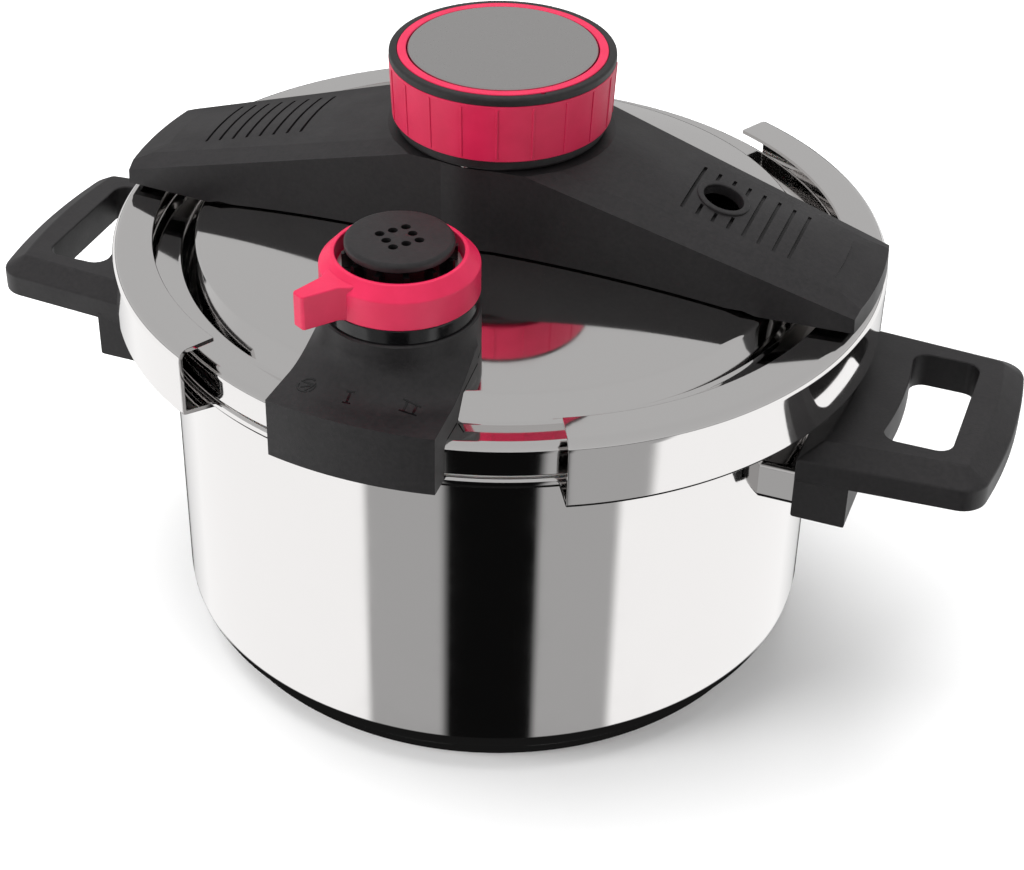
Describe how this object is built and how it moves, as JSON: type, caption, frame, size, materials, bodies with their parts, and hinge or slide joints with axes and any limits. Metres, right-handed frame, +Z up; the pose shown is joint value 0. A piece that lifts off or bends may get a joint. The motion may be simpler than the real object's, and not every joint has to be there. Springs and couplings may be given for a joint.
{
  "type": "stovetop pressure cooker",
  "caption": "Stovetop pressure cooker with sliding clamp jaws on the lid, a turning lock knob, a pressure selector valve and two side handles.",
  "frame": {"origin": "centre of the pot's underside", "axes": "+Z up, +X along the handles and the bar on the lid, the working valve towards -Y"},
  "size_m": [0.356, 0.2444, 0.2106],
  "materials": {
    "polished_steel": "mirror polished stainless steel",
    "satin_steel": "satin stainless steel",
    "aluminium_core": "rolled aluminium",
    "black_plastic": "fine grained black heat-proof plastic",
    "gloss_black": "smooth black plastic",
    "pink_grip": "satin pink-red moulded plastic",
    "silicone": "grey silicone rubber",
    "brass": "turned brass",
    "spring_steel": "drawn spring steel"
  },
  "bodies": {
    "root": {"pot_shell": "polished_steel", "base_cap": "polished_steel", "base_core": "aluminium_core", "lid_shell": "polished_steel", "lid_gasket": "silicone", "centre_bolt": "satin_steel", "bolt_seal": "silicone", "spacer_collar": "satin_steel", "centre_washer": "satin_steel", "centre_nut": "satin_steel", "bridge_channel": "satin_steel", "guide_straps": "satin_steel", "cover_screws": "satin_steel", "bar_cover": "black_plastic", "valve_housing": "black_plastic", "steam_tube": "brass", "tube_nut": "brass", "tube_seal": "silicone", "valve_collar": "gloss_black", "valve_neck": "black_plastic", "retaining_ring": "satin_steel", "valve_cap": "black_plastic", "valve_spring": "spring_steel", "indicator_bush": "brass", "indicator_nut": "brass", "handle_left": "black_plastic", "handle_right": "black_plastic", "handle_bracket_left": "polished_steel", "handle_bracket_right": "polished_steel", "handle_screws_left": "satin_steel", "handle_screws_right": "satin_steel"},
    "knob": {"knob_core": "black_plastic", "knob_grip": "pink_grip", "knob_top_ring": "black_plastic", "knob_inner_ring": "pink_grip", "knob_disc": "satin_steel", "knob_screws": "satin_steel", "drive_pinion": "satin_steel"},
    "jaw_left": {"clamp_jaw_left": "polished_steel", "slide_arm_left": "satin_steel", "jaw_rivets_left": "satin_steel"},
    "jaw_right": {"clamp_jaw_right": "polished_steel", "slide_arm_right": "satin_steel", "jaw_rivets_right": "satin_steel"},
    "selector": {"selector_ring": "pink_grip"},
    "plunger": {"valve_plunger": "brass"},
    "indicator": {"indicator_pin": "gloss_black", "indicator_seal": "silicone"}
  },
  "joints": [
    {"name": "knob_turn", "type": "hinge", "parent": "root", "child": "knob", "pos_m": [0, 0, 0.2], "axis": [0, 0, 1], "range_deg": [0, 90]},
    {"name": "jaw_left_slide", "type": "slide", "parent": "root", "child": "jaw_left", "axis": [-1, 0, 0], "range_m": [0, 0.0126]},
    {"name": "jaw_right_slide", "type": "slide", "parent": "root", "child": "jaw_right", "axis": [1, 0, 0], "range_m": [0, 0.0126]},
    {"name": "selector_turn", "type": "hinge", "parent": "root", "child": "selector", "pos_m": [0, -0.0846, 0.175], "axis": [0, 0, 1], "range_deg": [0, 60]},
    {"name": "plunger_lift", "type": "slide", "parent": "root", "child": "plunger", "axis": [0, 0, 1], "range_m": [0, 0.002], "stiffness_N_per_m": 300, "springref_m": -0.002, "deforming": ["valve_spring"]},
    {"name": "indicator_rise", "type": "slide", "parent": "root", "child": "indicator", "axis": [0, 0, 1], "range_m": [0, 0.005]}
  ],
  "couplings": [
    {"joint": "jaw_left_slide", "follows": "knob_turn", "m_per_rad": 0.008},
    {"joint": "jaw_right_slide", "follows": "knob_turn", "m_per_rad": 0.008}
  ]
}
